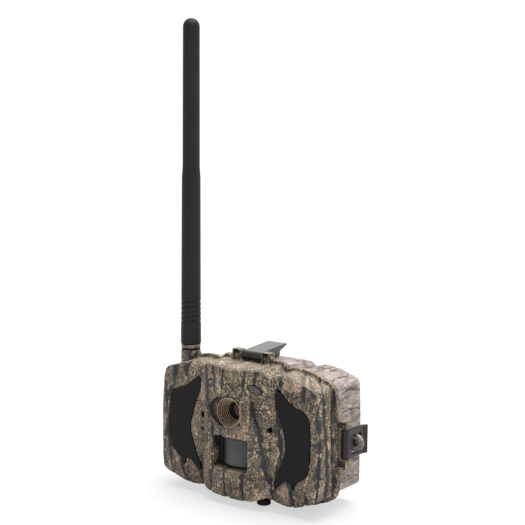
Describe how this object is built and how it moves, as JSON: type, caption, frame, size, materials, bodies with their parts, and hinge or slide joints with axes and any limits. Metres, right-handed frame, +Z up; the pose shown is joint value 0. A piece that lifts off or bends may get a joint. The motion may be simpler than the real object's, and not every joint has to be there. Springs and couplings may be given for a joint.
{
  "type": "trail camera",
  "caption": "Weatherproof trail camera: three-lobed case with a hinged front door, infrared panels, lens, motion sensor window, draw latches and a tall whip antenna.",
  "frame": {"origin": "on the flat base pad under the rear case, on the camera's centre plane", "axes": "+X towards the side latch, -Y the way the lens looks, +Z up along the antenna"},
  "size_m": [0.165, 0.0764, 0.349],
  "materials": {
    "camo_front": "matte moulded plastic with a printed bark pattern",
    "camo_rear": "matte moulded plastic with a paler bark pattern",
    "window_black": "polished infrared-passing plastic",
    "black_plastic": "fine matte black plastic",
    "latch_grey": "satin dark grey nylon",
    "rubber": "soft matte rubber",
    "optical_glass": "coated optical glass",
    "fresnel_sheet": "thin ribbed polyethylene sheet",
    "circuit_board": "green soldermask",
    "steel": "plain steel",
    "collar_metal": "warm grey turned metal",
    "brass": "turned brass",
    "screen_glass": "glossy display cover",
    "card_plastic": "pale card plastic",
    "battery_jacket": "smooth printed jacket, no text"
  },
  "bodies": {
    "rear_case": {"rear_shell": "camo_rear", "door_seal": "rubber", "hinge_pin": "steel", "tripod_insert": "brass", "battery_tray": "black_plastic", "battery_1": "battery_jacket", "battery_2": "battery_jacket", "battery_3": "battery_jacket", "battery_4": "battery_jacket", "battery_5": "battery_jacket", "battery_6": "battery_jacket", "battery_7": "battery_jacket", "battery_8": "battery_jacket", "contact_plate_top": "steel", "contact_plate_bottom": "steel", "battery_cover": "black_plastic"},
    "front_door": {"front_shell": "camo_front", "ir_window_left": "window_black", "ir_window_right": "window_black", "ir_led_board_left": "circuit_board", "ir_led_board_right": "circuit_board", "lens_funnel": "camo_front", "lens_barrel": "black_plastic", "lens_glass": "optical_glass", "sensor_board": "circuit_board", "pir_frame": "black_plastic", "pir_lens": "fresnel_sheet", "pir_sensor": "steel", "light_sensor_window": "window_black", "indicator_window": "window_black", "main_board": "circuit_board", "inner_panel": "latch_grey", "display": "screen_glass", "card_socket": "steel", "sim_card": "card_plastic", "panel_screw_1": "steel", "panel_screw_2": "steel", "panel_screw_3": "steel", "panel_screw_4": "steel", "antenna_stud": "brass", "antenna_seal": "rubber", "top_latch_pin": "steel", "side_latch_pin": "steel", "power_jack": "black_plastic"},
    "antenna": {"antenna_whip": "rubber", "antenna_collar": "collar_metal"},
    "top_latch": {"top_latch": "latch_grey"},
    "side_latch": {"side_latch": "latch_grey"},
    "power_switch": {"power_switch": "black_plastic"},
    "memory_card": {"memory_card": "black_plastic"},
    "jack_plug": {"jack_plug": "rubber"},
    "key_up": {"key_up": "rubber"},
    "key_down": {"key_down": "rubber"},
    "key_left": {"key_left": "rubber"},
    "key_right": {"key_right": "rubber"},
    "key_ok": {"key_ok": "rubber"},
    "key_menu": {"key_menu": "rubber"}
  },
  "joints": [
    {"name": "door_hinge", "type": "hinge", "parent": "rear_case", "child": "front_door", "pos_m": [-0.078, -0.01, 0.053], "axis": [0, 0, -1], "range_deg": [0, 110]},
    {"name": "side_latch_hinge", "type": "hinge", "parent": "front_door", "child": "side_latch", "pos_m": [0.0765, -0.0085, 0.0522], "axis": [0, 0, -1], "range_deg": [0, 110]},
    {"name": "top_latch_hinge", "type": "hinge", "parent": "front_door", "child": "top_latch", "pos_m": [0.001, -0.0157, 0.1066], "axis": [1, 0, 0], "range_deg": [0, 110]},
    {"name": "antenna_spin", "type": "hinge", "parent": "front_door", "child": "antenna", "pos_m": [-0.056, -0.0186, 0.105], "axis": [0, 0, 1], "continuous": true},
    {"name": "key_up_press", "type": "slide", "parent": "front_door", "child": "key_up", "axis": [0, -1, 0], "range_m": [0, 0.0008], "stiffness_N_per_m": 500},
    {"name": "key_down_press", "type": "slide", "parent": "front_door", "child": "key_down", "axis": [0, -1, 0], "range_m": [0, 0.0008], "stiffness_N_per_m": 500},
    {"name": "key_left_press", "type": "slide", "parent": "front_door", "child": "key_left", "axis": [0, -1, 0], "range_m": [0, 0.0008], "stiffness_N_per_m": 500},
    {"name": "key_right_press", "type": "slide", "parent": "front_door", "child": "key_right", "axis": [0, -1, 0], "range_m": [0, 0.0008], "stiffness_N_per_m": 500},
    {"name": "key_ok_press", "type": "slide", "parent": "front_door", "child": "key_ok", "axis": [0, -1, 0], "range_m": [0, 0.0008], "stiffness_N_per_m": 500},
    {"name": "key_menu_press", "type": "slide", "parent": "front_door", "child": "key_menu", "axis": [0, -1, 0], "range_m": [0, 0.0008], "stiffness_N_per_m": 500},
    {"name": "power_switch_slide", "type": "slide", "parent": "front_door", "child": "power_switch", "axis": [1, 0, 0], "range_m": [0, 0.008]},
    {"name": "memory_card_push", "type": "slide", "parent": "front_door", "child": "memory_card", "axis": [-1, 0, 0], "range_m": [0, 0.001], "stiffness_N_per_m": 300},
    {"name": "jack_plug_pull", "type": "slide", "parent": "front_door", "child": "jack_plug", "axis": [0, 0, -1], "range_m": [0, 0.012]}
  ]
}
